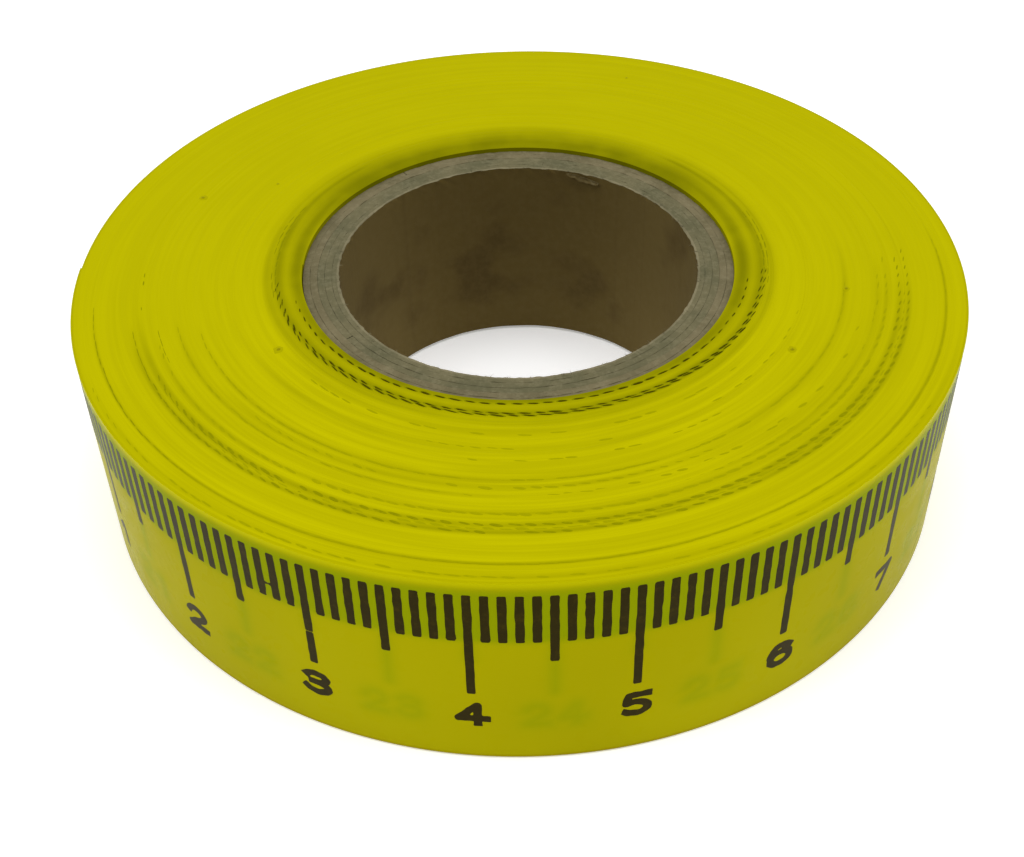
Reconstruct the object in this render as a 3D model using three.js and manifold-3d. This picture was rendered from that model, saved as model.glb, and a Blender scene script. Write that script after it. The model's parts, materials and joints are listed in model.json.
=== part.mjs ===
// A roll of printed yellow measuring tape wound on a short laminated paperboard core.
//
// Units are millimetres. The roll lies on one end face with its axis along +Z, and the origin is the
// centre of its base. The tape is one long strip: it is cut here into stretches of whole turns, and
// the last sixth of the outermost turn, which lifts off as a tail, into short hinged lengths.
import * as THREE from 'three';
import * as BufferGeometryUtils from 'three/addons/utils/BufferGeometryUtils.js';
import Module from 'manifold-3d';

// Paperboard core: a standard 1 in bore and 1.2 in outside, in five plies.
const BORE_RADIUS = 12.7;
const PLY_THICKNESS = 0.508;
const PLY_NAMES = [
  'core_liner_ply',
  'core_inner_ply',
  'core_middle_ply',
  'core_outer_ply',
  'core_cover_ply',
];
const CORE_LENGTH = 15.5;
const CORE_BASE = 0.25;
const CORE_RADIUS = BORE_RADIUS + PLY_THICKNESS * PLY_NAMES.length;

// Helical butt seam of each ply, where the two edges of its paper strip meet.
const SEAM_WIDTH = 0.3;
const SEAM_LEAN = THREE.MathUtils.degToRad(52);
const SEAM_START = THREE.MathUtils.degToRad(-140);
const SEAM_STAGGER = THREE.MathUtils.degToRad(137.5);
const SEAM_STEPS = 12;
const CUT_MARGIN = 0.3;

// Tape strip: 5/8 in wide, with each stretch of turns lifted a little by the winding's wander.
const TAPE_WIDTH = 15.875;
const TAPE_THICKNESS = 0.1;
const STRETCHES = [
  { lastTurn: 18, lift: 0 },
  { lastTurn: 38, lift: 0.05 },
  { lastTurn: 75, lift: 0.08 },
  { lastTurn: 113, lift: 0.06 },
  { lastTurn: 144, lift: 0.1 },
  { lastTurn: 156, lift: 0.125 },
  { lastTurn: 157, lift: 0.125 },
];
const OUTER_TURN = 158;
const OUTER_LIFT = 0.125;

// Facets round one turn. Every stretch has its corners at the same angles, so that turns that touch
// share their facets exactly. The strip's free end is at the first corner, at half a turn.
const FACETS = 96;
const TAIL_LENGTHS = 8;
const FACETS_PER_LENGTH = 2;

const wasm = await Module();
wasm.setup();

function filmMaterial() {
  return new THREE.MeshStandardMaterial({ color: 0xbeba00, roughness: 0.35, metalness: 0 });
}

function innerTurnsMaterial() {
  return new THREE.MeshStandardMaterial({ color: 0xb4b000, roughness: 0.5, metalness: 0 });
}

function boardMaterial() {
  return new THREE.MeshStandardMaterial({ color: 0x78705a, roughness: 0.9, metalness: 0 });
}

function linerMaterial() {
  return new THREE.MeshStandardMaterial({ color: 0x463a1e, roughness: 0.85, metalness: 0 });
}

function cornerAngle(corner) {
  return (corner / FACETS - 0.5) * 2 * Math.PI;
}

function polarPoint(radius, angle) {
  return new THREE.Vector2(radius * Math.cos(angle), radius * Math.sin(angle));
}

// Outer radius of a turn: a spiral that loses one thickness in a full turn, counter-clockwise.
function turnRadius(turn, angle) {
  return CORE_RADIUS + TAPE_THICKNESS * (turn - angle / (2 * Math.PI));
}

function turnArc(turn, firstCorner, lastCorner) {
  const points = [];
  for (let corner = firstCorner; corner <= lastCorner; corner += 1) {
    const angle = cornerAngle(corner);
    points.push(polarPoint(turnRadius(turn, angle), angle));
  }
  return points;
}

function circle(radius) {
  const points = [];
  for (let corner = 0; corner < FACETS; corner += 1) {
    points.push(polarPoint(radius, cornerAngle(corner)));
  }
  return points;
}

function ringGeometry(outline, hole, height) {
  const shape = new THREE.Shape(outline);
  shape.holes.push(new THREE.Path(hole));
  return new THREE.ExtrudeGeometry(shape, { depth: height, bevelEnabled: false });
}

// One thickness of the outermost turn between two corners.
function filmLengthGeometry(firstCorner, lastCorner) {
  const outside = turnArc(OUTER_TURN, firstCorner, lastCorner);
  const inside = turnArc(OUTER_TURN - 1, firstCorner, lastCorner).reverse();
  const shape = new THREE.Shape([...outside, ...inside]);
  return new THREE.ExtrudeGeometry(shape, { depth: TAPE_WIDTH, bevelEnabled: false });
}

function toManifold(geometry) {
  const bare = geometry.clone();
  bare.deleteAttribute('normal');
  bare.deleteAttribute('uv');
  const merged = BufferGeometryUtils.mergeVertices(bare);
  return new wasm.Manifold(new wasm.Mesh({
    numProp: 3,
    vertProperties: merged.attributes.position.array,
    triVerts: new Uint32Array(merged.index.array),
  }));
}

function toGeometry(manifold) {
  const mesh = manifold.getMesh();
  const geometry = new THREE.BufferGeometry();
  geometry.setAttribute('position', new THREE.BufferAttribute(mesh.vertProperties, 3));
  geometry.setIndex(new THREE.BufferAttribute(mesh.triVerts, 1));
  geometry.computeVertexNormals();
  return geometry;
}

// A thin blade that follows a helix through the ply wall, from below the core to above it.
function seamBlade(radius, startAngle) {
  const height = CORE_LENGTH + 2 * CUT_MARGIN;
  const depth = PLY_THICKNESS + 2 * CUT_MARGIN;
  const blade = new THREE.BoxGeometry(depth, SEAM_WIDTH, height, 1, 1, SEAM_STEPS);
  blade.translate(radius, 0, CORE_LENGTH / 2);
  const turnPerHeight = Math.tan(SEAM_LEAN) / radius;
  const corner = new THREE.Vector3();
  const axis = new THREE.Vector3(0, 0, 1);
  const places = blade.attributes.position;
  for (let i = 0; i < places.count; i += 1) {
    corner.fromBufferAttribute(places, i);
    corner.applyAxisAngle(axis, startAngle + turnPerHeight * corner.z);
    places.setXYZ(i, corner.x, corner.y, corner.z);
  }
  return blade;
}

function corePly(index) {
  const inside = BORE_RADIUS + PLY_THICKNESS * index;
  const outside = BORE_RADIUS + PLY_THICKNESS * (index + 1);
  const tube = toManifold(ringGeometry(circle(outside), circle(inside), CORE_LENGTH));
  const startAngle = SEAM_START + SEAM_STAGGER * index;
  const blade = toManifold(seamBlade((inside + outside) / 2, startAngle));
  const material = index === 0 ? linerMaterial() : boardMaterial();
  const mesh = new THREE.Mesh(toGeometry(tube.subtract(blade)), material);
  mesh.name = PLY_NAMES[index];
  return mesh;
}

function buildCore() {
  const core = new THREE.Group();
  core.position.z = CORE_BASE;
  for (let index = 0; index < PLY_NAMES.length; index += 1) {
    core.add(corePly(index));
  }
  return core;
}

// A stretch of whole turns, from the turn after firstTurn's end to the end of its own last turn.
function tapeStretch(innerTurn, { lastTurn, lift }) {
  const hole = innerTurn === 0 ? circle(CORE_RADIUS) : turnArc(innerTurn, 0, FACETS);
  const geometry = ringGeometry(turnArc(lastTurn, 0, FACETS), hole, TAPE_WIDTH);
  const mesh = new THREE.Mesh(geometry, innerTurnsMaterial());
  mesh.position.z = lift;
  const single = lastTurn === innerTurn + 1;
  mesh.name = single ? `tape_turn_${lastTurn}` : `tape_turns_${innerTurn + 1}_to_${lastTurn}`;
  return mesh;
}

function buildWoundStretches() {
  const pack = new THREE.Group();
  let innerTurn = 0;
  for (const stretch of STRETCHES) {
    pack.add(tapeStretch(innerTurn, stretch));
    innerTurn = stretch.lastTurn;
  }
  return pack;
}

// The outermost turn: the part that stays on the roll, and the tail's lengths from its root to its
// free end.
function buildOuterTurn() {
  const turn = new THREE.Group();
  turn.position.z = OUTER_LIFT;
  const rootCorner = TAIL_LENGTHS * FACETS_PER_LENGTH;
  const fixed = new THREE.Mesh(filmLengthGeometry(rootCorner, FACETS), filmMaterial());
  fixed.name = `tape_turn_${OUTER_TURN}`;
  turn.add(fixed);
  for (let index = 1; index <= TAIL_LENGTHS; index += 1) {
    const last = rootCorner - (index - 1) * FACETS_PER_LENGTH;
    const first = last - FACETS_PER_LENGTH;
    const length = new THREE.Mesh(filmLengthGeometry(first, last), filmMaterial());
    length.name = `tape_tail_${index}`;
    turn.add(length);
  }
  return turn;
}

const roll = new THREE.Group();
roll.add(buildCore(), buildWoundStretches(), buildOuterTurn());

export default roll;
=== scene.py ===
# A roll of printed yellow measuring tape on a paperboard core, dressed round its CAD frame.
# Lengths are in millimetres until a mesh is made, which turns them into metres.
import json
import math
import random

import bpy
import numpy as np
from mathutils import Matrix, Vector, noise


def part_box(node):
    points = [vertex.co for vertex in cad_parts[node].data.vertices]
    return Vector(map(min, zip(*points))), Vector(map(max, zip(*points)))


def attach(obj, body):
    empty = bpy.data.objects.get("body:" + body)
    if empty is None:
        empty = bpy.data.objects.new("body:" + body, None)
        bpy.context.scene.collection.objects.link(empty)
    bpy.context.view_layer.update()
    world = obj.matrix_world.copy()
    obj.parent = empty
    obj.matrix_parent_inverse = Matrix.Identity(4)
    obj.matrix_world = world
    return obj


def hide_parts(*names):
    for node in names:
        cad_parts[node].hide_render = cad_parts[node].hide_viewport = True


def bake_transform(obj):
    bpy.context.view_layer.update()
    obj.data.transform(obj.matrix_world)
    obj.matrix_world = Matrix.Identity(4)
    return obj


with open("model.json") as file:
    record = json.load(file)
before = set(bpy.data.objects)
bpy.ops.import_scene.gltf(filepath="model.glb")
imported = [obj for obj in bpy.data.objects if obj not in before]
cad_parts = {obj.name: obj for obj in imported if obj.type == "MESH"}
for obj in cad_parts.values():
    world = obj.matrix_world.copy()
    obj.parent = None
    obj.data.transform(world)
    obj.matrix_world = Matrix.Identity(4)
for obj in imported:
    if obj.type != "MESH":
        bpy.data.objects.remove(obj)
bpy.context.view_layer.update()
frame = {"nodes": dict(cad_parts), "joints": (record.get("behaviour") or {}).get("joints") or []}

MM = 0.001
TAU = 2 * math.pi


def node_low(node):
    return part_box(node)[0] / MM


def node_high(node):
    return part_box(node)[1] / MM


# The frame's own dimensions
PLY_NODES = [
    "core_liner_ply",
    "core_inner_ply",
    "core_middle_ply",
    "core_outer_ply",
    "core_cover_ply",
]
CORE_RADIUS = node_high("core_cover_ply").x
PLY = (CORE_RADIUS - node_high("core_liner_ply").x) / (len(PLY_NODES) - 1)
BORE_RADIUS = CORE_RADIUS - PLY * len(PLY_NODES)
CORE_LOW = node_low("core_cover_ply").z
CORE_HIGH = node_high("core_cover_ply").z

OUTER_TURN = 158
UNDER_TURN = OUTER_TURN - 1
OUTER_NODE = "tape_turn_158"
UNDER_NODE = "tape_turn_157"
FILM = (-node_low(UNDER_NODE).x - CORE_RADIUS) / (UNDER_TURN + 0.5)
TAPE_TOP = node_high(OUTER_NODE).z
TAPE_LOW = node_low(OUTER_NODE).z
ROLL_LOW = 0.0

# The tail bends between the middles of its hinged lengths.
HINGES = [math.atan2(j["pos_m"][1], j["pos_m"][0]) for j in frame["joints"]]
HALF_LENGTH = (HINGES[0] - HINGES[1]) / 2
FREE_END = -math.pi
TAIL_CUTS = [HINGES[0] + HALF_LENGTH] + [h - HALF_LENGTH for h in HINGES[:-1]] + [FREE_END]

# The printed scale: centimetre numbers grow counter-clockwise, 19.5 cm to a turn.
CM_PER_TURN = 19.5
MM_PER_TURN = int(CM_PER_TURN * 10)
CM_ANGLE = TAU / CM_PER_TURN
SCALE_ZERO = math.radians(-169.97)
TICK_TOP = 1.03
MM_TICK_END = 5.0
HALF_TICK_END = 6.7
CM_TICK_END = 9.75
TICK_HALF_WIDTH = 0.273
TICK_ROUGHNESS, TICK_LEAN = 0.014, 0.006
TICK_ROW = 0.6
DIGIT_TOP = 10.55
DIGIT_HEIGHT = 2.3
DIGIT_WIDTH = 2.25
PAIR_DIGIT_WIDTH = 1.9
PAIR_GAP = 0.3
STROKE_HALF_WIDTH = 0.28
DIGIT_STEP = 0.08
DIGIT_ROUGHNESS = 0.065
INK_PROUD = 0.006
INK_SUNK = 0.006

# The print seen through the film: strength and blur of its marks
GHOST_TICK, GHOST_TICK_BLUR = 0.5, 0.42
GHOST_NUMBER, GHOST_NUMBER_BLUR = 0.5, 0.5
GHOST_HAZE = 0.72
GHOST_REACH = 3.2

# Faults in the print
CRACKED_MARK = 30
CRACK_DEPTH = 6.85
CRACK_HALF_WIDTH = 0.02
BRIDGE_MARK = 27
BRIDGE_DEPTH = 3.8
BRIDGE_OVERLAP = 0.05
BRIDGE_HALF_WIDTHS = (0.2, 0.1, 0.06, 0.1, 0.22)


# ---------------------------------------------------------------- spiral and edges

def turn_radius(turn, angle):
    """Outer radius of a turn: the strip climbs one film thickness in a turn, clockwise."""
    return CORE_RADIUS + FILM * (turn - angle / TAU)


def wander(seed, spread, sunk_share, sunk_depth):
    """How far each turn's edge lies below the highest, one value for each turn."""
    rng = random.Random(seed)
    level = 0.0
    drops = []
    for _ in range(OUTER_TURN + 3):
        level = 0.75 * level + rng.gauss(0, spread)
        sunk = rng.uniform(0.4, 1.0) * sunk_depth if rng.random() < sunk_share else 0.0
        drops.append(abs(level) + sunk)
    return np.array(drops)


TOP_DROPS = wander(5, 0.0035, 0.06, 0.02)
LOW_DROPS = wander(8, 0.005, 0.08, 0.03)
DISH_DEPTH = 0.1
DISH_WIDTH = 3.6


def edge_drop(drops, place):
    """Drop at a place along the strip, counted in turns, so it runs on smoothly over the seam."""
    return np.interp(place, np.arange(len(drops)), drops)


def dish(radius):
    """The face dips towards the core."""
    near = np.clip(1 - (radius - CORE_RADIUS) / DISH_WIDTH, 0, 1)
    return DISH_DEPTH * near ** 2


# ---------------------------------------------------------------- meshes

def new_piece(name, points, faces, materials, face_materials=None, attributes=None):
    """A mesh object from points in millimetres."""
    mesh = bpy.data.meshes.new(name)
    mesh.from_pydata((np.asarray(points, float) * MM).tolist(), [], faces)
    for material in materials:
        mesh.materials.append(material)
    if face_materials is not None:
        mesh.polygons.foreach_set("material_index", np.asarray(face_materials, np.int32))
    for key, values in (attributes or {}).items():
        layer = mesh.attributes.new(key, "FLOAT", "POINT")
        layer.data.foreach_set("value", np.asarray(values, np.float32))
    mesh.shade_smooth()
    mesh.set_sharp_from_angle(angle=math.radians(32))
    mesh.update()
    piece = bpy.data.objects.new(name, mesh)
    bpy.context.scene.collection.objects.link(piece)
    return piece


def swept_faces(columns, ring):
    """Faces of a closed section swept through columns, with a cap at each end."""
    column = np.arange(columns - 1)[:, None] * ring
    here = np.arange(ring)[None, :]
    after = (here + 1) % ring
    quads = np.stack(
        [column + here, column + ring + here, column + ring + after, column + after], axis=-1
    )
    faces = quads.reshape(-1, 4).tolist()
    last = (columns - 1) * ring
    faces.append(list(range(ring)))
    faces.append(list(range(last + ring - 1, last - 1, -1)))
    return faces


def polar_points(radius, angle, height):
    return np.stack([radius * np.cos(angle), radius * np.sin(angle), height], axis=-1)


def closed_sheet(faces, count):
    """Front faces, the same faces count points on as a back, and a rim between the two."""
    sides = {(a, b) for f in faces for a, b in zip(f, f[1:] + f[:1])}
    rim = sorted((a, b) for a, b in sides if (b, a) not in sides)
    back = [[i + count for i in reversed(f)] for f in faces]
    return faces + back + [[b, a, a + count, b + count] for a, b in rim]


# ---------------------------------------------------------------- materials

def srgb(red, green, blue):
    """A shader colour from 0 to 255 display values."""
    def linear(value):
        value /= 255
        return value / 12.92 if value <= 0.04045 else ((value + 0.055) / 1.055) ** 2.4
    return (linear(red), linear(green), linear(blue), 1.0)


class Surface:
    """A Principled material with short calls for its nodes."""

    def __init__(self, name, roughness, specular=0.5, tint=None):
        self.material = bpy.data.materials.new(name)
        self.material.use_nodes = True
        self.nodes = self.material.node_tree.nodes
        self.links = self.material.node_tree.links
        self.shader = self.nodes["Principled BSDF"]
        self.shader.inputs["Roughness"].default_value = roughness
        self.shader.inputs["Specular IOR Level"].default_value = specular
        if tint:
            self.shader.inputs["Specular Tint"].default_value = tint

    def node(self, kind, **settings):
        made = self.nodes.new(kind)
        for key, value in settings.items():
            setattr(made, key, value)
        return made

    def join(self, source, target):
        self.links.new(source, target)

    def place(self):
        return self.node("ShaderNodeTexCoord").outputs["Object"]

    def ring_place(self, radial, around):
        """Coordinates that change fast across the rings and slowly along them."""
        flat = self.node("ShaderNodeVectorMath", operation="MULTIPLY")
        flat.inputs[1].default_value = (1, 1, 0)
        self.join(self.place(), flat.inputs[0])
        length = self.node("ShaderNodeVectorMath", operation="LENGTH")
        self.join(flat.outputs[0], length.inputs[0])
        heading = self.node("ShaderNodeVectorMath", operation="NORMALIZE")
        self.join(flat.outputs[0], heading.inputs[0])
        split = self.node("ShaderNodeSeparateXYZ")
        self.join(heading.outputs[0], split.inputs[0])
        place = self.node("ShaderNodeCombineXYZ")
        radius = self.math("MULTIPLY", length.outputs["Value"], radial / MM)
        self.join(self.math("MULTIPLY", split.outputs["X"], around), place.inputs["X"])
        self.join(self.math("MULTIPLY", split.outputs["Y"], around), place.inputs["Y"])
        self.join(radius, place.inputs["Z"])
        return place.outputs[0]

    def math(self, operation, first, second, clamp=False):
        made = self.node("ShaderNodeMath", operation=operation, use_clamp=clamp)
        for socket, value in zip(made.inputs, (first, second)):
            if isinstance(value, (int, float)):
                socket.default_value = value
            else:
                self.join(value, socket)
        return made.outputs[0]

    def noise(self, vector, scale, detail=2.0, roughness=0.5):
        made = self.node("ShaderNodeTexNoise")
        made.inputs["Scale"].default_value = scale
        made.inputs["Detail"].default_value = detail
        made.inputs["Roughness"].default_value = roughness
        self.join(vector, made.inputs["Vector"])
        return made.outputs["Fac"]

    def ramp(self, value, low, high, low_out=0.0, high_out=1.0):
        made = self.node("ShaderNodeMapRange", interpolation_type="SMOOTHSTEP")
        for socket, number in zip(list(made.inputs)[1:5], (low, high, low_out, high_out)):
            socket.default_value = number
        self.join(value, made.inputs[0])
        return made.outputs[0]

    def mix(self, factor, first, second, blend="MIX"):
        made = self.node("ShaderNodeMix", data_type="RGBA", blend_type=blend)
        for socket, value in zip((made.inputs[0], made.inputs[6], made.inputs[7]),
                                 (factor, first, second)):
            if isinstance(value, (int, float, tuple)):
                socket.default_value = value
            else:
                self.join(value, socket)
        return made.outputs[2]

    def attribute(self, name):
        return self.node("ShaderNodeAttribute", attribute_name=name).outputs["Fac"]

    def colour(self, value):
        if isinstance(value, tuple):
            self.shader.inputs["Base Color"].default_value = value
        else:
            self.join(value, self.shader.inputs["Base Color"])

    def rough(self, value):
        self.join(value, self.shader.inputs["Roughness"])

    def bump(self, value, distance, strength=1.0):
        made = self.node("ShaderNodeBump")
        made.inputs["Strength"].default_value = strength
        made.inputs["Distance"].default_value = distance * MM
        self.join(value, made.inputs["Height"])
        self.join(made.outputs[0], self.shader.inputs["Normal"])


YELLOW_TINT = (1.0, 0.92, 0.0, 1.0)
# Height of the painted highlight along the top of the film's wall, in mm
RIM_PAINTED_HIGHLIGHT = 0.7
GHOST_COLOUR = srgb(76, 134, 0)


def film_surface(name, roughness, light, deep, highlight_colour, ghost_strength):
    """Glossy translucent yellow film. The attribute ghost says how much print shows through. The
    top of its wall is painted brighter, a painted highlight, and its foot is painted darker brown,
    painted shade where it meets the floor.
    """
    surface = Surface(name, roughness, 0.007, YELLOW_TINT)
    place = surface.place()
    cloud = surface.noise(place, 60.0, 2.0)
    body = surface.mix(surface.ramp(cloud, 0.3, 0.7), light, deep)
    split = surface.node("ShaderNodeSeparateXYZ")
    surface.join(place, split.inputs[0])
    # Painted highlight: the top of the wall is painted brighter, as bright as the lit end face.
    painted_highlight = surface.ramp(split.outputs["Z"], (TAPE_TOP - RIM_PAINTED_HIGHLIGHT) * MM, TAPE_TOP * MM)
    body = surface.mix(painted_highlight, body, highlight_colour)
    # Painted shade: the lowest half millimetre of the wall is painted darker brown, where the film
    # meets the floor.
    brown = surface.ramp(split.outputs["Z"], 0.12 * MM, 0.5 * MM, 0.4, 0.0)
    body = surface.mix(brown, body, srgb(128, 96, 0))
    ghost = surface.math("MULTIPLY", surface.attribute("ghost"), ghost_strength)
    surface.colour(surface.mix(ghost, body, GHOST_COLOUR))
    streak = surface.noise(place, 700.0, 2.0)
    surface.rough(surface.ramp(streak, 0.3, 0.75, roughness * 0.85, roughness * 1.25))
    surface.bump(surface.noise(place, 160.0, 2.0), 0.01)
    return surface.material


def edge_surface():
    """The wound turns' edges: fine rings, darkened by the attribute tone, which carries rings of
    ink and the painted shade round the core.
    """
    surface = Surface("wound_film_edges", 0.55, 0.018, YELLOW_TINT)
    broad = surface.noise(surface.ring_place(2.4, 1.6), 1.0, 2.0, 0.6)
    fine = surface.noise(surface.ring_place(9.0, 2.4), 1.0, 2.0)
    clear = surface.attribute("clear")
    swing = surface.math("SUBTRACT", surface.ramp(broad, 0.3, 0.7), 0.5)
    level = surface.math("ADD", surface.math("MULTIPLY", swing, clear), 0.5)
    base = surface.mix(level, EDGE_DEEP, EDGE_LIGHT)
    line = surface.math("MULTIPLY", surface.ramp(fine, 0.5, 0.8, 0.0, 0.4), clear)
    base = surface.mix(line, base, EDGE_LINE)
    mottle = surface.ramp(surface.noise(surface.place(), 350.0, 2.0, 0.5), 0.3, 0.7, 0.9, 1.1)
    tone = surface.math("MULTIPLY", surface.attribute("tone"), mottle, clamp=True)
    surface.colour(surface.mix(tone, base, EDGE_DARK))
    surface.rough(surface.ramp(fine, 0.3, 0.7, 0.5, 0.65))
    surface.bump(surface.math("MULTIPLY", fine, clear), 0.006)
    return surface.material


def ink_surface(name, dark, paler, gloss=0.018):
    surface = Surface(name, 0.36, gloss, YELLOW_TINT)
    place = surface.place()
    cloud = surface.noise(place, 1500.0, 3.0, 0.7)
    # Dark ink, with paler patches where it is worn.
    surface.colour(surface.mix(surface.ramp(cloud, 0.45, 0.8), dark, paler))
    surface.bump(surface.noise(place, 3000.0, 2.0), 0.003)
    return surface.material


def board_surface(name, dark, light, streak):
    """Grey-brown recycled paperboard, cut across its plies, with streaks and fibres."""
    surface = Surface(name, 0.92, 0.15)
    place = surface.place()
    cloud = surface.ramp(surface.noise(place, 330.0, 3.0, 0.55), 0.36, 0.66)
    layers = surface.ramp(surface.noise(surface.ring_place(3.2, 6.0), 1.0, 2.0), 0.56, 0.72)
    fibre = surface.ramp(surface.noise(place, 2400.0, 3.0, 0.7), 0.42, 0.7)
    base = surface.mix(cloud, dark, light)
    base = surface.mix(surface.math("MULTIPLY", layers, 0.22), base, streak)
    surface.colour(surface.mix(surface.math("MULTIPLY", fibre, 0.22), base, srgb(150, 142, 112)))
    surface.bump(surface.noise(place, 2000.0, 4.0, 0.7), 0.04)
    return surface.material


def liner_surface():
    """Dark kraft paper with soft stains, inside the bore, painted paler towards its left and right
    walls: painted light, as from lamps at the sides.
    """
    surface = Surface("core_liner_paper", 0.85, 0.15)
    place = surface.place()
    split = surface.node("ShaderNodeSeparateXYZ")
    surface.join(place, split.inputs[0])
    # Painted light: the bore's left and right walls are painted paler, as if lit from the sides.
    beside = surface.math("ABSOLUTE", split.outputs["X"], 0.0)
    paler = surface.ramp(beside, 0.4 * BORE_RADIUS * MM, BORE_RADIUS * MM)
    base = surface.mix(paler, srgb(97, 81, 38), srgb(107, 91, 48))
    stain = surface.ramp(surface.noise(place, 150.0, 3.0, 0.55), 0.48, 0.66)
    base = surface.mix(surface.math("MULTIPLY", stain, 0.5), base, srgb(70, 54, 22))
    upright = surface.noise(surface.ring_place(0.5, 40.0), 1.0, 2.0)
    base = surface.mix(surface.ramp(upright, 0.5, 0.85, 0.0, 0.2), base, srgb(74, 58, 28))
    grain = surface.ramp(surface.noise(place, 1800.0, 3.0, 0.6), 0.35, 0.7)
    surface.colour(surface.mix(surface.math("MULTIPLY", grain, 0.15), base, srgb(118, 102, 62)))
    surface.bump(surface.noise(place, 1200.0, 3.0), 0.02)
    return surface.material


EDGE_DEEP = srgb(179, 173, 0)
EDGE_LIGHT = srgb(191, 185, 0)
EDGE_LINE = srgb(168, 163, 0)
EDGE_DARK = srgb(112, 112, 0)

film = film_surface("tape_film", 0.3, srgb(173, 166, 0), srgb(167, 160, 0), srgb(191, 187, 0), 0.57)
adhesive = film_surface("tape_adhesive_back", 0.45, srgb(188, 182, 40), srgb(180, 172, 30),
                        srgb(194, 188, 40), 0.35)
edges = edge_surface()
ink = ink_surface("scale_ink", srgb(40, 31, 0), srgb(54, 44, 0), 0.05)
edge_ink = ink_surface("edge_ink", srgb(66, 62, 0), srgb(98, 94, 2))
edge_bleed = ink_surface("edge_ink_bleed", srgb(124, 126, 0), srgb(140, 140, 0))
side_ink = ink_surface("side_edge_ink", srgb(132, 132, 0), srgb(146, 144, 0))
faint_ink = ink_surface("faint_edge_ink", srgb(138, 137, 0), srgb(154, 152, 0))
trace_ink = ink_surface("trace_edge_ink", srgb(158, 155, 0), srgb(168, 164, 0))
inner_board = board_surface("core_board_grey", srgb(95, 92, 66), srgb(108, 102, 74),
                            srgb(80, 80, 58))
outer_board = board_surface("core_board_brown", srgb(102, 95, 68), srgb(117, 108, 80),
                            srgb(94, 88, 66))
rim_board = board_surface("core_board_rim", srgb(110, 104, 78), srgb(128, 120, 92),
                          srgb(100, 95, 70))
torn_paper = board_surface("torn_paper", srgb(84, 71, 38), srgb(104, 90, 54),
                           srgb(80, 68, 36))
liner = liner_surface()
speck = ink_surface("dust_speck", srgb(142, 136, 6), srgb(156, 150, 12))
smudge = ink_surface("dust_smudge", srgb(168, 163, 0), srgb(174, 169, 0))


# ---------------------------------------------------------------- figures of the scale

def arc(cx, cy, rx, ry, first, last):
    """Points of an elliptical arc, from one angle in degrees to another."""
    count = max(4, int(abs(last - first) / 18))
    turns = [math.radians(first + (last - first) * k / count) for k in range(count + 1)]
    return [(cx + rx * math.cos(a), cy + ry * math.sin(a)) for a in turns]


def half_turn(strokes):
    return [[(1 - x, 1 - y) for x, y in line] for line in strokes]


SIX = [
    arc(0.54, 0.5, 0.5, 0.5, 42, 180) + arc(0.5, 0.31, 0.46, 0.31, 160, 190),
    arc(0.5, 0.31, 0.46, 0.31, 0, 360),
]
FIGURES = {
    "0": [arc(0.5, 0.5, 0.46, 0.5, 0, 360)],
    "1": [[(0.2, 0.74), (0.56, 1.0), (0.56, 0.0)]],
    "2": [arc(0.5, 0.7, 0.44, 0.3, 172, -28) + [(0.04, 0.0), (0.98, 0.0)]],
    "3": [
        arc(0.46, 0.76, 0.42, 0.24, 155, -90),
        arc(0.46, 0.27, 0.48, 0.27, 90, -158),
        [(0.28, 0.53), (0.5, 0.53)],
    ],
    "4": [[(0.68, 0.0), (0.68, 1.0), (0.0, 0.26), (1.0, 0.26)]],
    "5": [[(0.92, 1.0), (0.22, 1.0), (0.13, 0.57)] + arc(0.47, 0.31, 0.48, 0.31, 126, -136)],
    "6": SIX,
    "7": [[(0.04, 1.0), (0.96, 1.0), (0.36, 0.0)]],
    "8": [arc(0.5, 0.76, 0.38, 0.24, 0, 360), arc(0.5, 0.27, 0.46, 0.27, 0, 360)],
    "9": half_turn(SIX),
}


def number_strokes(number, centre):
    """The strokes of a number, in mm along the tape and mm below its top edge (negative)."""
    digits = str(number)
    width = DIGIT_WIDTH if len(digits) == 1 else PAIR_DIGIT_WIDTH
    pitch = width + PAIR_GAP
    inner_width = width - 2 * STROKE_HALF_WIDTH
    inner_height = DIGIT_HEIGHT - 2 * STROKE_HALF_WIDTH
    bottom = -(DIGIT_TOP + DIGIT_HEIGHT) + STROKE_HALF_WIDTH
    strokes = []
    for index, digit in enumerate(digits):
        left = centre + (index - (len(digits) - 1) / 2) * pitch - inner_width / 2
        for line in FIGURES[digit]:
            strokes.append([(left + x * inner_width, bottom + y * inner_height) for x, y in line])
    return strokes


def stroke_distance(x, y, strokes):
    """Distance from each point to the nearest stroke. Free ends are cut square."""
    best = np.full(np.shape(x), np.inf)
    for line in strokes:
        closed = math.dist(line[0], line[-1]) < 1e-6
        last = len(line) - 2
        for index, ((ax, ay), (bx, by)) in enumerate(zip(line, line[1:])):
            dx, dy = bx - ax, by - ay
            length = math.hypot(dx, dy)
            if length < 1e-6:
                continue
            along = ((x - ax) * dx + (y - ay) * dy) / length
            across = np.abs((x - ax) * dy - (y - ay) * dx) / length
            before = np.maximum(0, -along)
            after = np.maximum(0, along - length)
            square_start = index == 0 and not closed
            square_end = index == last and not closed
            start = np.maximum(across, before) if square_start else np.hypot(across, before)
            end = np.maximum(across, after) if square_end else np.hypot(across, after)
            best = np.minimum(best, np.where(along < length / 2, start, end))
    return best


def tick_end(mark):
    if mark % 10 == 0:
        return CM_TICK_END
    return HALF_TICK_END if mark % 5 == 0 else MM_TICK_END


# ---------------------------------------------------------------- printed sheets

class Sheet:
    """Flat faces, later wrapped: mm along the tape, and mm from its top edge, negative below."""

    def __init__(self):
        self.points = []
        self.faces = []

    def add(self, points, faces):
        base = len(self.points)
        self.points += points
        self.faces += [[base + i for i in face] for face in faces]


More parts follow.
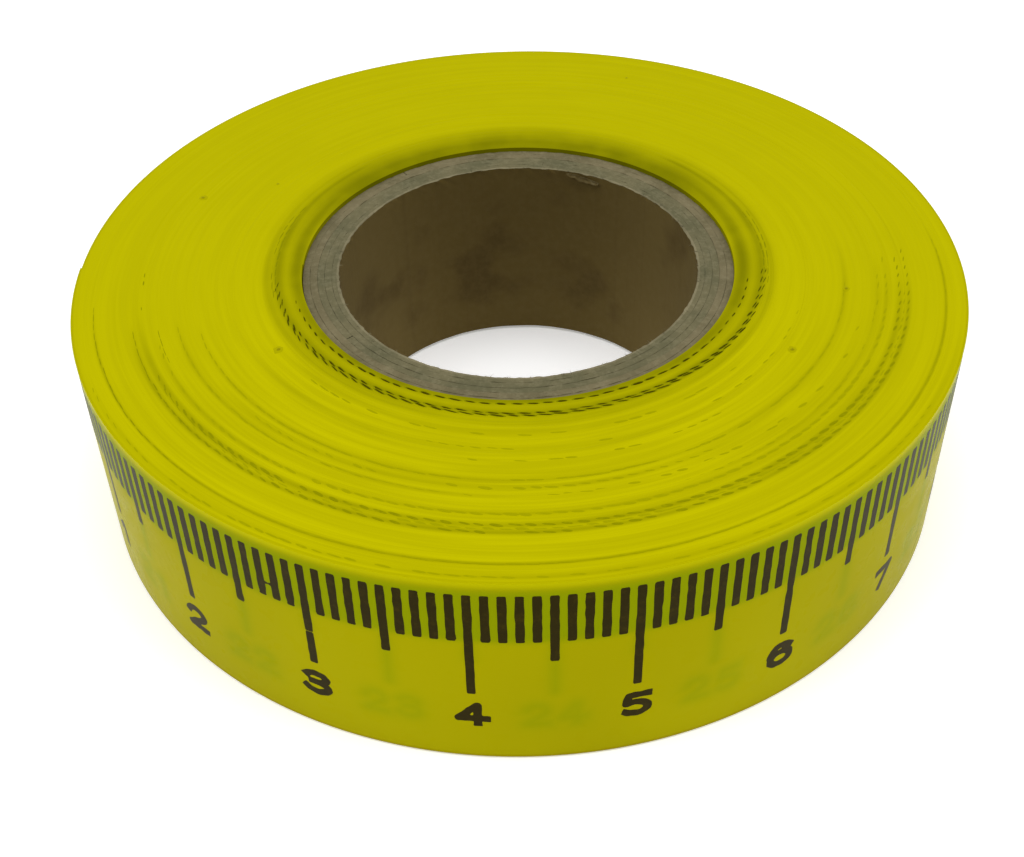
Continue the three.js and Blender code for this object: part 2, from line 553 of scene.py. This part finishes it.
def tick_shape(sheet, mark, rng):
    """One tick, in two parts where the film is cracked across it."""
    end = tick_end(mark)
    if mark == CRACKED_MARK:
        tick_part(sheet, mark, TICK_TOP, CRACK_DEPTH - CRACK_HALF_WIDTH, rng)
        tick_part(sheet, mark, CRACK_DEPTH + CRACK_HALF_WIDTH, end, rng)
    else:
        tick_part(sheet, mark, TICK_TOP, end, rng)


def tick_part(sheet, mark, start, end, rng):
    """A printed bar with softened corners and the slightly rough sides of a print."""
    width = TICK_HALF_WIDTH
    corner = ((0.0, 0.66), (0.035, 0.88), (0.1, 0.98))
    steps = max(5, round((end - start) / TICK_ROW))
    rows = [(start + depth, width * share) for depth, share in corner]
    for depth in np.linspace(start + 0.2, end - 0.2, steps + 1):
        rows.append((depth, width + rng.gauss(0, TICK_ROUGHNESS)))
    rows += [(end - depth, width * share) for depth, share in reversed(corner)]
    points = []
    for depth, half in rows:
        lean = rng.gauss(0, TICK_LEAN)
        points += [(mark - half + lean, -depth), (mark + half + lean, -depth)]
    faces = [[k, k + 2, k + 3, k + 1] for k in range(0, len(points) - 2, 2)]
    sheet.add(points, faces)


def ink_bridge(sheet):
    """A blot that joins two ticks."""
    left = BRIDGE_MARK + TICK_HALF_WIDTH - BRIDGE_OVERLAP
    right = BRIDGE_MARK + 1 - TICK_HALF_WIDTH + BRIDGE_OVERLAP
    xs = np.linspace(left, right, len(BRIDGE_HALF_WIDTHS))
    points = []
    for x, reach in zip(xs, BRIDGE_HALF_WIDTHS):
        points += [(x, -(BRIDGE_DEPTH + reach)), (x, -(BRIDGE_DEPTH - reach))]
    faces = [[k, k + 2, k + 3, k + 1] for k in range(0, len(points) - 2, 2)]
    sheet.add(points, faces)


def filled_shape(sheet, field, xs, ys):
    """Faces over the cells where field is below zero, cut along the line where it is zero."""
    points, known, faces = [], {}, []

    def vertex(key, x, y):
        if key not in known:
            known[key] = len(points)
            points.append((x, y))
        return known[key]

    def corner(a):
        return vertex(a, xs[a[0]], ys[a[1]])

    def crossing(a, b):
        share = field[a] / (field[a] - field[b])
        x = xs[a[0]] + share * (xs[b[0]] - xs[a[0]])
        y = ys[a[1]] + share * (ys[b[1]] - ys[a[1]])
        return vertex((min(a, b), max(a, b)), x, y)

    for i in range(len(xs) - 1):
        for j in range(len(ys) - 1):
            ring = [(i, j), (i + 1, j), (i + 1, j + 1), (i, j + 1)]
            face = []
            for a, b in zip(ring, ring[1:] + ring[:1]):
                if field[a] < 0:
                    face.append(corner(a))
                if (field[a] < 0) != (field[b] < 0):
                    face.append(crossing(a, b))
            if len(face) > 2:
                faces.append(face)
    sheet.add(points, faces)


def number_shape(sheet, number, centre, rng):
    strokes = number_strokes(number, centre)
    reach = DIGIT_WIDTH * (0.5 if number < 10 else 1.0) + 0.3
    margin = 0.2
    low, high = -(DIGIT_TOP + DIGIT_HEIGHT) - margin, -DIGIT_TOP + margin
    xs = np.arange(centre - reach, centre + reach + DIGIT_STEP, DIGIT_STEP)
    ys = np.arange(low, high + DIGIT_STEP, DIGIT_STEP)
    x, y = np.meshgrid(xs, ys, indexing="ij")
    phase = rng.uniform(0, 50)
    rough = [[noise.noise(Vector((a * 2.2 + phase, b * 2.2, number))) for b in ys] for a in xs]
    field = stroke_distance(x, y, strokes) - STROKE_HALF_WIDTH - DIGIT_ROUGHNESS * np.array(rough)
    filled_shape(sheet, field, xs, ys)


def printed_sheet(first_mark, last_mark, shift):
    """Ticks and numbers from one millimetre mark to another. shift is what the numbers add."""
    rng = random.Random(21)
    sheet = Sheet()
    for mark in range(first_mark, last_mark + 1):
        value = mark + shift
        tick_start = len(sheet.points)
        tick_shape(sheet, value, rng)
        sheet.points[tick_start:] = [(x - shift, y) for x, y in sheet.points[tick_start:]]
        if value % 10 == 0:
            number_shape(sheet, value // 10, float(mark), rng)
    return sheet


def mark_angle(along):
    """Angle round the roll of a distance in millimetres along the printed scale."""
    return SCALE_ZERO + along / 10 * CM_ANGLE


def wrapped_print(name, sheet, keep, turn, material):
    """A thin solid layer of the sheet's faces for which keep is true, wrapped on a turn."""
    flat = np.array(sheet.points)
    faces = [f for f in sheet.faces if keep(mark_angle(flat[f, 0].mean()))]
    used = sorted({i for f in faces for i in f})
    renumber = {old: new for new, old in enumerate(used)}
    faces = [[renumber[i] for i in f] for f in faces]
    flat = flat[used]
    angle = mark_angle(flat[:, 0])
    radius = turn_radius(turn, angle)
    height = TAPE_TOP + flat[:, 1]
    front = polar_points(radius + INK_PROUD, angle, height)
    back = polar_points(radius - INK_SUNK, angle, height)
    solid = closed_sheet(faces, len(flat))
    return new_piece(name, np.concatenate([front, back]), solid, [material])


# ---------------------------------------------------------------- print seen through the film

def soft(distance, width):
    """One inside a stroke, falling softly to nothing over a width outside it."""
    return 1 / (1 + np.exp(np.clip((distance - TICK_HALF_WIDTH) / width * 2.2, -30, 30)))


def print_darkness(along, depth, shift):
    """How dark the print is near each point, blurred as it looks through the film."""
    dark = np.zeros(np.shape(along))
    nearest = np.round(along)
    for offset in (-1, 0, 1):
        mark = nearest + offset
        value = mark + shift
        end = np.where(value % 5 == 0, HALF_TICK_END, MM_TICK_END)
        end = np.where(value % 10 == 0, CM_TICK_END, end)
        over = np.maximum(0, np.maximum(TICK_TOP + 0.25 - depth, depth - end + 0.25))
        dark = np.maximum(dark, GHOST_TICK * soft(np.hypot(along - mark, over), GHOST_TICK_BLUR))
    haze = np.clip((depth - 0.3) / 0.6, 0, 1) * np.clip((MM_TICK_END + 0.3 - depth) / 0.6, 0, 1)
    dark = np.maximum(dark, GHOST_HAZE * haze)
    near_numbers = (depth > DIGIT_TOP - 1) & (depth < DIGIT_TOP + DIGIT_HEIGHT + 1)
    low, high = along.min(), along.max()
    for mark in range(math.floor(low) - 3, math.ceil(high) + 4):
        if (mark + shift) % 10 or mark + shift < 0:
            continue
        here = near_numbers & (np.abs(along - mark) < GHOST_REACH)
        if here.any():
            strokes = number_strokes((mark + shift) // 10, float(mark))
            far = stroke_distance(along[here], -depth[here], strokes)
            dark[here] = np.maximum(dark[here], GHOST_NUMBER * soft(far, GHOST_NUMBER_BLUR))
    return dark


# ---------------------------------------------------------------- the tape

ADHESIVE_SIDE, CUT_EDGE = 1, 2
FILM_ROW, FILM_EASE = 0.25, 0.02
CUT_EDGE_TONE = 0.12
GROOVE_SHARE = 0.13


def film_solid(name, turn, first, last, step, inner_rows):
    """One thickness of film from one angle to another, with eased edges."""
    columns = max(2, math.ceil((last - first) * turn_radius(turn, 0) / step)) + 1
    angle = np.linspace(first, last, columns)
    rows = round((TAPE_TOP - TAPE_LOW) / FILM_ROW)
    heights = np.linspace(TAPE_LOW + FILM_EASE, TAPE_TOP - FILM_EASE, rows)
    outside = [(0.0, z) for z in heights]
    inner = [(-FILM, z) for z in np.linspace(TAPE_TOP, TAPE_LOW, inner_rows)]
    section = [(-FILM_EASE, TAPE_LOW)] + outside + [(-FILM_EASE, TAPE_TOP)] + inner
    offsets = np.array(section)
    angle_grid, offset_grid = np.meshgrid(angle, offsets[:, 0], indexing="ij")
    _, height_grid = np.meshgrid(angle, offsets[:, 1], indexing="ij")
    radius = turn_radius(turn, angle_grid) + offset_grid
    ring = len(section)
    points = polar_points(radius, angle_grid, height_grid).reshape(-1, 3)
    along = (angle_grid - SCALE_ZERO) / CM_ANGLE * 10
    depth = TAPE_TOP - height_grid
    shift = MM_PER_TURN * (OUTER_TURN - turn)
    beneath = print_darkness(along, depth, shift + MM_PER_TURN)
    own = print_darkness(along, depth, shift)
    ghost = np.where(offset_grid <= -FILM, own, beneath)
    faces = swept_faces(columns, ring)
    kinds = np.zeros(ring, int)
    kinds[rows:rows + 2] = CUT_EDGE
    kinds[rows + 2:-1] = ADHESIVE_SIDE
    kinds[-1] = CUT_EDGE
    slots = np.concatenate([np.tile(kinds, columns - 1), [0, 0]])
    tone = np.full(ghost.size, CUT_EDGE_TONE)
    return new_piece(name, points, faces, [film, adhesive, edges], slots,
                     {"ghost": ghost.ravel(), "tone": tone})


def stretch_solid(first, last):
    """Whole turns of the strip wound on each other, with every turn's edge at its own height."""
    node = f"tape_turns_{first}_to_{last}"
    columns = 289
    angle = np.linspace(-math.pi, math.pi, columns)
    turns = np.repeat(np.arange(first, last + 1), 2)
    places = turns - 1 + np.tile([GROOVE_SHARE, 1 - GROOVE_SHARE], last - first + 1)
    places[0], places[-1] = first - 1, last
    radius = CORE_RADIUS + FILM * (places[None, :] - angle[:, None] / TAU)
    radius = np.maximum(radius, CORE_RADIUS)
    strip_place = turns[None, :] - angle[:, None] / TAU
    top = TAPE_TOP - edge_drop(TOP_DROPS, strip_place) - dish(radius)
    low = ROLL_LOW + edge_drop(LOW_DROPS, strip_place) + dish(radius) * 0.3
    radii = np.concatenate([radius, radius[:, ::-1]], axis=1)
    heights = np.concatenate([low, top[:, ::-1]], axis=1)
    ring = radii.shape[1]
    angles = np.repeat(angle[:, None], ring, axis=1)
    points = polar_points(radii, angles, heights).reshape(-1, 3)
    shades = {
        "tone": edge_tone(radii, angles).ravel(),
        "clear": np.clip(-1.3 * np.sin(angles), BACK_CLEAR, 1).ravel(),
    }
    piece = new_piece(f"wound_turns_{first}_to_{last}", points, swept_faces(columns, ring),
                      [edges], None, shades)
    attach(piece, "roll")
    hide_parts(node)


# Rings that darken the wound edges: radius, half width, darkness, and the first and last angle in
# degrees.
# The rings at 15.3 and 17.5, next to the core, are painted shade; the others lie along the rows of
# edge ink.
# The two broad ones at the end make both sides a little duller.
RINGS = [
    (15.3, 0.72, 0.78, -250, 70),
    (16.65, 0.45, 0.62, -240, 60),
    (17.5, 0.35, 0.34, -240, 60),
    (18.4, 0.3, 0.2, -150, -35),
    (20.2, 0.35, 0.2, -150, -55),
    (22.75, 0.18, 0.22, -163, 5),
    (23.4, 0.2, 0.22, -145, -45),
    (24.1, 0.16, 0.24, -166, -90),
    (25.0, 0.2, 0.18, -70, 0),
    (25.6, 0.18, 0.24, -162, 0),
    (26.5, 0.26, 0.4, -168, -4),
    (27.1, 0.2, 0.42, -166, -4),
    (29.55, 0.1, 0.42, -172, 8),
    (30.6, 0.2, 0.18, -158, -15),
    (25.5, 4.0, 0.07, -195, -125),
    (25.0, 4.5, 0.08, -62, 32),
]
RING_FADE = 14
# Behind the core the rings are fainter, and a soft painted shade lies round it. BACK_TONE is the
# least painted shade anywhere behind it.
BACK_CLEAR = 0.35
CORE_SHADE, SHADE_REACH, SHADE_FULL = 0.82, 19.3, 3.2
BACK_TONE = 0.1
CORE_SHIFT = (0.1, 0.45)


def ring_shift(radius, angle):
    """The rings nearest the core sit a little towards one side."""
    near = np.clip((19.5 - radius) / 2.5, 0, 1)
    return near * (CORE_SHIFT[0] * np.cos(angle) + CORE_SHIFT[1] * (1 + np.sin(angle)))


def arc_share(angle, first, last):
    """One along an arc given in degrees, falling to nothing at its ends."""
    past = (np.degrees(angle) - first) % 360
    rise = np.clip(past / RING_FADE, 0, 1)
    return rise * np.clip((last - first - past) / RING_FADE, 0, 1)


def front_share(angle):
    """One in front of the core and nothing behind it."""
    return np.clip(0.5 - 0.9 * (np.sin(angle) - 0.1), 0, 1)


def edge_tone(radius, angle):
    """How dark the wound edges are: the rings, and a soft painted shade behind the core."""
    ring = radius - ring_shift(radius, angle)
    tone = np.zeros(np.shape(radius))
    for middle, half, darkness, first, last in RINGS:
        shape = np.exp(-((ring - middle) / half) ** 2)
        tone += darkness * shape * arc_share(angle, first, last)
    shade = CORE_SHADE * np.clip((SHADE_REACH - radius) / SHADE_FULL, 0, 1) ** 1.2
    shade = np.maximum(shade, BACK_TONE)
    return np.clip(np.maximum(tone, shade * (1 - front_share(angle))), 0, 1)


def build_wound_stretches():
    for node in sorted(frame["nodes"]):
        if node.startswith("tape_turns_"):
            first, last = node.removeprefix("tape_turns_").split("_to_")
            stretch_solid(int(first), int(last))


def scale_marks_between(first, last):
    low = math.ceil((first - SCALE_ZERO) / CM_ANGLE * 10 - 4)
    high = math.floor((last - SCALE_ZERO) / CM_ANGLE * 10 + 4)
    return low, high


def build_under_turn():
    """The last turn but one, with the print that the lifted tail uncovers."""
    turn = film_solid("under_turn_film", UNDER_TURN, -math.pi, math.pi, 0.6, 2)
    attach(turn, "roll")
    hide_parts(UNDER_NODE)
    low, high = scale_marks_between(FREE_END, TAIL_CUTS[0])
    sheet = printed_sheet(low, high, MM_PER_TURN)
    shown = wrapped_print("under_turn_print", sheet, lambda a: FREE_END < a < TAIL_CUTS[0],
                          UNDER_TURN, ink)
    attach(shown, "roll")


def build_outer_turn():
    """The outermost turn: what stays on the roll, and the tail that bends at its hinges."""
    root = TAIL_CUTS[0]
    fixed = film_solid("outer_turn_film", OUTER_TURN, root, math.pi, 0.28, 2)
    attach(fixed, "roll")
    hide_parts(OUTER_NODE)
    sheet = printed_sheet(0, MM_PER_TURN, 0)
    ink_bridge(sheet)
    shown = wrapped_print("scale_print", sheet, lambda a: root <= a < math.pi, OUTER_TURN, ink)
    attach(shown, "roll")
    for index in range(1, len(TAIL_CUTS)):
        build_tail_length(index, sheet)


def build_tail_length(index, sheet):
    high, low = TAIL_CUTS[index - 1], TAIL_CUTS[index]
    strip = film_solid(f"tail_film_{index}", OUTER_TURN, low, high, 0.25, 60)
    pieces = [strip]
    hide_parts(f"tape_tail_{index}")
    angles = [mark_angle(x) for x, _ in sheet.points]
    if any(low <= a < high for a in angles):
        shown = wrapped_print(f"tail_print_{index}", sheet, lambda a: low <= a < high,
                              OUTER_TURN, ink)
        pieces.append(shown)
    for piece in pieces:
        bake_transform(piece)


# ---------------------------------------------------------------- ink and dust on the end face

SMEAR = ((-1.0, 0.25), (-0.62, 0.85), (0.0, 1.0), (0.62, 0.85), (1.0, 0.25))


def smear(points, faces, angle, radius, half_length, half_width, slant, rise):
    """A flat slanting smear of ink, longest along the turn, on top of the wound edges."""
    place = (radius - CORE_RADIUS) / FILM
    top = TAPE_TOP - float(edge_drop(TOP_DROPS, place)) - float(dish(radius)) + rise
    outline = [(along, -wide) for along, wide in SMEAR]
    outline += [(along, wide) for along, wide in reversed(SMEAR)]
    base, count = len(points), len(outline)
    for height in (top - 0.03, top):
        for along, wide in outline:
            here = angle + along * half_length / radius
            r = radius + wide * half_width + along * slant
            points.append((r * math.cos(here), r * math.sin(here), height))
    under = [base + k for k in range(count)]
    faces.append(under)
    faces.append([i + count for i in reversed(under)])
    faces.extend([b, a, a + count, b + count] for a, b in zip(under, under[1:] + under[:1]))


def dash_row(row, scale, rise, rng, points, faces):
    """The millimetre ticks of one turn, where their ink comes to its edge."""
    radius, width, share, reach, slant, first, last = row
    count = round(TAU * radius)
    for index in range(count):
        angle = TAU * index / count + rng.gauss(0, 0.05) / radius
        past = (math.degrees(angle) - first) % 360
        kept = rng.random() < share
        middle = radius + float(ring_shift(radius, angle)) + rng.gauss(0, 0.02)
        length, wide = rng.uniform(0.8, 1.2), rng.uniform(0.75, 1.25)
        if past > last - first or not kept:
            continue
        fade = min(1.0, 0.35 + min(past, last - first - past) / 50)
        smear(points, faces, angle, middle, reach * length * (0.5 + 0.5 * fade) * scale,
              width / 2 * wide * fade * scale ** 2, slant, rise)


def build_dashes(name, rows, scale, rise, material, seed):
    rng = random.Random(seed)
    points, faces = [], []
    for row in rows:
        dash_row(row, scale, rise, rng, points, faces)
    dashes = new_piece(name, points, faces, [material])
    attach(dashes, "roll")


# Rows of ink: radius, width across, share kept, half length, slant, and first and last angle in
# degrees.
STRONG_ROWS = [
    (15.7, 0.16, 0.98, 0.33, 0.03, -165, -10),
    (16.66, 0.14, 1.0, 0.38, 0.07, -172, -4),
    (16.86, 0.11, 0.95, 0.38, 0.07, -170, -6),
]
SIDE_ROWS = [
    (16.8, 0.2, 1.0, 0.6, 0.02, -205, -168),
    (17.1, 0.12, 1.0, 0.6, 0.02, -200, -168),
    (16.8, 0.2, 1.0, 0.6, 0.02, -12, 24),
    (17.1, 0.12, 1.0, 0.6, 0.02, -12, 20),
    (27.05, 0.1, 1.0, 0.6, 0.01, -165, -130),
    (26.6, 0.08, 1.0, 0.6, 0.04, -150, -122),
    (25.4, 0.12, 1.0, 0.6, 0.0, -163, -155),
    (29.55, 0.08, 1.0, 0.6, 0.01, -171, -132),
]
FAINT_ROWS = [
    (26.48, 0.16, 0.9, 0.34, 0.06, -160, 0),
    (27.08, 0.14, 0.95, 0.34, 0.06, -150, 2),
    (26.35, 0.18, 0.5, 0.3, 0.0, -182, -168),
]
TRACE_ROWS = [
    (18.7, 0.1, 0.5, 0.4, 0.03, -150, -35),
    (19.95, 0.1, 0.4, 0.33, 0.03, -110, -20),
    (21.05, 0.1, 0.3, 0.33, 0.03, -120, -40),
    (22.75, 0.1, 0.8, 0.45, 0.02, -160, -10),
    (23.4, 0.14, 0.8, 0.33, 0.05, -135, -60),
    (24.1, 0.1, 0.8, 0.5, 0.02, -165, -100),
    (24.1, 0.12, 0.5, 0.33, 0.05, -100, -10),
    (25.0, 0.12, 0.7, 0.36, 0.04, -70, 0),
    (25.6, 0.14, 0.8, 0.36, 0.05, -160, 0),
    (26.8, 0.14, 0.9, 0.36, 0.06, -140, -10),
    (29.55, 0.09, 0.85, 0.42, 0.02, -135, 2),
    (30.55, 0.1, 0.6, 0.36, 0.03, -155, -30),
]


def build_edge_ink():
    build_dashes("edge_dash_bleed", STRONG_ROWS, 1.35, 0.002, edge_bleed, 31)
    build_dashes("edge_dashes", STRONG_ROWS, 1.0, 0.006, edge_ink, 31)
    build_dashes("side_edge_dashes", SIDE_ROWS, 1.0, 0.003, side_ink, 34)
    build_dashes("faint_edge_dashes", FAINT_ROWS, 1.1, 0.006, faint_ink, 32)
    build_dashes("trace_edge_dashes", TRACE_ROWS, 1.2, 0.004, trace_ink, 33)


# Where dust sticks: angle in degrees, radius and size
DUST_SPOTS = [
    (-200.4, 25.2, 0.24),
    (-148.4, 18.7, 0.26),
    (-11, 22.9, 0.22),
    (-31.5, 20.9, 0.24),
    (70, 27.5, 0.12),
    (150, 21.0, 0.12),
]


def build_heaps(name, spread, rise, stretch, material):
    """Low heaps on the end face, one at each spot where dust sticks."""
    rng = random.Random(9)
    points, faces = [], []
    rings, around = 4, 9
    for degrees, radius, size in DUST_SPOTS:
        angle = math.radians(degrees)
        centre = Vector((radius * math.cos(angle), radius * math.sin(angle), TAPE_TOP - 0.03))
        base = len(points)
        points.append(centre + Vector((0, 0, rise)))
        for ring in range(1, rings + 1):
            polar = ring / rings * math.pi / 2
            for k in range(around):
                turn = TAU * k / around
                reach = spread * size * math.sin(polar) * rng.uniform(0.75, 1.2)
                side = reach * math.sin(turn) * stretch
                up = rise * math.cos(polar)
                points.append(centre + Vector((reach * math.cos(turn), side, up)))
        for k in range(around):
            faces.append([base, base + 1 + k, base + 1 + (k + 1) % around])
        for ring in range(rings - 1):
            low = base + 1 + ring * around
            for k in range(around):
                after = (k + 1) % around
                faces.append([low + k, low + around + k, low + around + after, low + after])
        last = base + 1 + (rings - 1) * around
        faces.append([last + k for k in reversed(range(around))])
    heaps = new_piece(name, points, faces, [material])
    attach(heaps, "roll")


def build_specks():
    """Grains of dust on the end face, each in a faint smudge."""
    build_heaps("dust_smudges", 1.6, 0.05, 1.1, smudge)
    build_heaps("dust_specks", 0.85, 0.068, 0.9, speck)


# ---------------------------------------------------------------- the core

SEAM_LEAN = math.radians(52)
SEAM_START = math.radians(-140)
SEAM_STAGGER = math.radians(137.5)
SEAM_GAP = 0.06
PLY_EASE = 0.02
FACE_DEPTHS = (0.15, 0.16, 0.18, 0.16, 0.18)
RIM_WIDTH = 0.17


def rough_height(x, y, seed, scale, depth):
    return depth * noise.noise(Vector((x * scale, y * scale, seed)))


def build_ply(index):
    """One paper ply: a C-shaped ring whose edges meet at a leaning seam."""
    inside = BORE_RADIUS + PLY * index
    outside = inside + PLY
    columns = 361
    wall_rows = 26 if index == 0 else 6
    low, high = CORE_LOW, CORE_HIGH - FACE_DEPTHS[index]
    wall = np.linspace(low + PLY_EASE, high - PLY_EASE, wall_rows)
    face_radii = np.linspace(inside + PLY_EASE, outside - PLY_EASE, 5)
    if index == 0:
        face_radii[1] = inside + RIM_WIDTH
    section = [(r, low) for r in face_radii]
    section += [(outside, z) for z in wall]
    section += [(r, high) for r in face_radii[::-1]]
    section += [(inside, z) for z in wall[::-1]]
    gap = SEAM_GAP / inside
    lean = math.tan(SEAM_LEAN) / (inside + PLY / 2)
    start = SEAM_START + SEAM_STAGGER * index
    points = []
    for phase in np.linspace(gap / 2, TAU - gap / 2, columns):
        for k, (r, z) in enumerate(section):
            angle = start + phase + lean * (z - CORE_LOW)
            x, y = r * math.cos(angle), r * math.sin(angle)
            if z == high:
                z += rough_height(x, y, index, 1.6, 0.05) + rough_height(x, y, index + 9, 6.0, 0.03)
            elif z == low:
                z += abs(rough_height(x, y, index + 5, 1.6, 0.05))
            elif r == inside and index == 0:
                edge = max(0.0, 1 - (high - z) / 0.8)
                push = rough_height(angle * 6, z * 0.4, 2, 1.0, 0.05)
                push += edge * rough_height(angle * 14, z, 4, 1.6, 0.12)
                x, y = x * (1 + push / r), y * (1 + push / r)
            points.append((x, y, z))
    ring = len(section)
    faces = swept_faces(columns, ring)
    kinds = np.ones(ring, int)
    first_wall = len(face_radii) * 2 + wall_rows
    kinds[first_wall:ring - 1] = 0
    if index == 0:
        kinds[first_wall - 2:first_wall] = 2
    board = inner_board if index < 3 else outer_board
    slots = np.concatenate([np.tile(kinds, columns - 1), [1, 1]])
    materials = [liner if index == 0 else board, board, rim_board]
    ply = new_piece(f"paper_{PLY_NODES[index]}", points, faces, materials, slots)
    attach(ply, "roll")
    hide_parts(PLY_NODES[index])


FIBRE_COUNT = 150
FIBRE_THICKNESS = 0.022
FIBRE_SIDES, FIBRE_STEPS = 3, 4


def build_fibres():
    """Loose paper fibres round the rim of the bore."""
    rng = random.Random(14)
    points, faces = [], []
    for _ in range(FIBRE_COUNT):
        angle = rng.uniform(0, TAU)
        radius = BORE_RADIUS + rng.uniform(0.02, 0.35)
        place = polar_points(radius, angle, CORE_HIGH - FACE_DEPTHS[0] - 0.02)
        heading = Vector((-math.cos(angle), -math.sin(angle), rng.uniform(-0.1, 0.5)))
        heading += Vector((rng.gauss(0, 0.8), rng.gauss(0, 0.8), 0))
        heading.normalize()
        place = Vector(place)
        length = rng.uniform(0.15, 0.45)
        base = len(points)
        for step in range(FIBRE_STEPS + 1):
            thick = FIBRE_THICKNESS * (1 - 0.8 * step / FIBRE_STEPS)
            side = heading.cross(Vector((0, 0, 1))).normalized()
            up = side.cross(heading).normalized()
            for k in range(FIBRE_SIDES):
                turn = TAU * k / FIBRE_SIDES
                points.append(place + side * thick * math.cos(turn) + up * thick * math.sin(turn))
            heading = (heading + Vector((rng.gauss(0, 0.25), rng.gauss(0, 0.25), 0))).normalized()
            place = place + heading * length / FIBRE_STEPS
            place.z = min(place.z, CORE_HIGH + 0.15)
        for step in range(FIBRE_STEPS):
            low = base + step * FIBRE_SIDES
            for k in range(FIBRE_SIDES):
                a, b = low + k, low + (k + 1) % FIBRE_SIDES
                faces.append([a, b, b + FIBRE_SIDES, a + FIBRE_SIDES])
        tip = base + FIBRE_STEPS * FIBRE_SIDES
        faces.append([base + k for k in reversed(range(FIBRE_SIDES))])
        faces.append([tip + k for k in range(FIBRE_SIDES)])
    fibres = new_piece("paper_fibres", points, faces, [rim_board])
    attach(fibres, "roll")


def build_torn_flap():
    """A flake of the liner that has come away under the rim of the bore."""
    across, down = 25, 9
    first, last = math.radians(60), math.radians(72)
    rim, deep = CORE_HIGH - FACE_DEPTHS[0] - 0.08, 0.3
    front, back = [], []
    for i in range(across):
        along = i / (across - 1)
        angle = first + along * (last - first)
        length = 0.05 + deep * math.sin(math.pi * along) ** 0.6
        length *= 1 + 0.6 * noise.noise(Vector((along * 6, 0, 3)))
        top = rim - 0.35 * (1 - along) ** 1.5
        for j in range(down):
            sunk = j / (down - 1)
            lift = 0.1 + 0.14 * sunk ** 2 + 0.04 * noise.noise(Vector((along * 5, sunk * 3, 7)))
            z = top - sunk * length
            front.append(polar_points(BORE_RADIUS - lift, angle, z))
            back.append(polar_points(BORE_RADIUS - lift + 0.035, angle, z))
    quads = [[i * down + j, i * down + j + 1, (i + 1) * down + j + 1, (i + 1) * down + j]
             for i in range(across - 1) for j in range(down - 1)]
    solid = closed_sheet(quads, across * down)
    flap = new_piece("torn_liner_flap", front + back, solid, [torn_paper])
    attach(flap, "roll")


def build_core():
    for index in range(len(PLY_NODES)):
        build_ply(index)
    build_fibres()
    build_torn_flap()


# ---------------------------------------------------------------- stage, light and camera

CAMERA_DISTANCE = 106.1
CAMERA_HEIGHT_ANGLE = math.radians(35.1)
CAMERA_TILT = math.radians(-6.503)
CAMERA_PAN = math.radians(-0.361)
CAMERA_ROLL = math.radians(1.175)
CAMERA_LENS = 52.29

FLOOR_GLOW = 0.3
FLOOR_REACH = 8000.0


def build_floor():
    surface = Surface("pale_floor", 0.9, 0.2)
    surface.colour(srgb(251, 251, 251))
    surface.shader.inputs["Emission Color"].default_value = (1, 1, 1, 1)
    surface.shader.inputs["Emission Strength"].default_value = FLOOR_GLOW
    signs = ((-1, -1), (1, -1), (1, 1), (-1, 1))
    corners = [(x * FLOOR_REACH, y * FLOOR_REACH, 0) for x, y in signs]
    floor = new_piece("floor", corners, [[0, 1, 2, 3]], [surface.material])


SKY = 0.32
# Lamps: share of the light on the floor, height and turn from the camera's side, in degrees
LAMPS = [(0.38, 90, 0), (0.2, 48, -80), (0.2, 48, 80)]
LAMP_WIDTH = math.radians(40)


def build_light():
    """A white sky, a wide soft lamp overhead and one on each side of the camera."""
    world = bpy.data.worlds.new("soft_studio")
    bpy.context.scene.world = world
    world.use_nodes = True
    background = world.node_tree.nodes["Background"]
    background.inputs["Color"].default_value = (1, 1, 1, 1)
    background.inputs["Strength"].default_value = SKY
    for share, height, turn in LAMPS:
        height, turn = math.radians(height), math.radians(turn)
        data = bpy.data.lights.new("soft_lamp", "SUN")
        data.energy = share * math.pi / math.sin(height)
        data.angle = LAMP_WIDTH
        lamp = bpy.data.objects.new("soft_lamp", data)
        lamp.rotation_euler = (math.pi / 2 - height, 0, turn)
        bpy.context.scene.collection.objects.link(lamp)


def build_camera():
    data = bpy.data.cameras.new("view")
    data.sensor_width = 36
    data.lens = CAMERA_LENS
    data.clip_start = 0.001
    back = Vector((0, -math.cos(CAMERA_HEIGHT_ANGLE), math.sin(CAMERA_HEIGHT_ANGLE)))
    place = Vector((0, 0, TAPE_TOP)) + back * CAMERA_DISTANCE
    right = Vector((1, 0, 0))
    turn = Matrix.Rotation(CAMERA_TILT, 3, right)
    forward = turn @ -back
    turn = Matrix.Rotation(-CAMERA_PAN, 3, right.cross(forward))
    forward, right = turn @ forward, turn @ right
    up = right.cross(forward)
    turn = Matrix.Rotation(CAMERA_ROLL, 3, forward)
    right, up = turn @ right, turn @ up
    camera = bpy.data.objects.new("view", data)
    axes = Matrix((right, up, -forward)).transposed()
    camera.matrix_world = Matrix.Translation(place * MM) @ axes.to_4x4()
    bpy.context.scene.collection.objects.link(camera)
    bpy.context.scene.camera = camera


bpy.context.scene.view_settings.view_transform = "Standard"
build_camera()
build_light()
build_floor()
build_wound_stretches()
build_under_turn()
build_outer_turn()
build_edge_ink()
build_specks()
build_core()
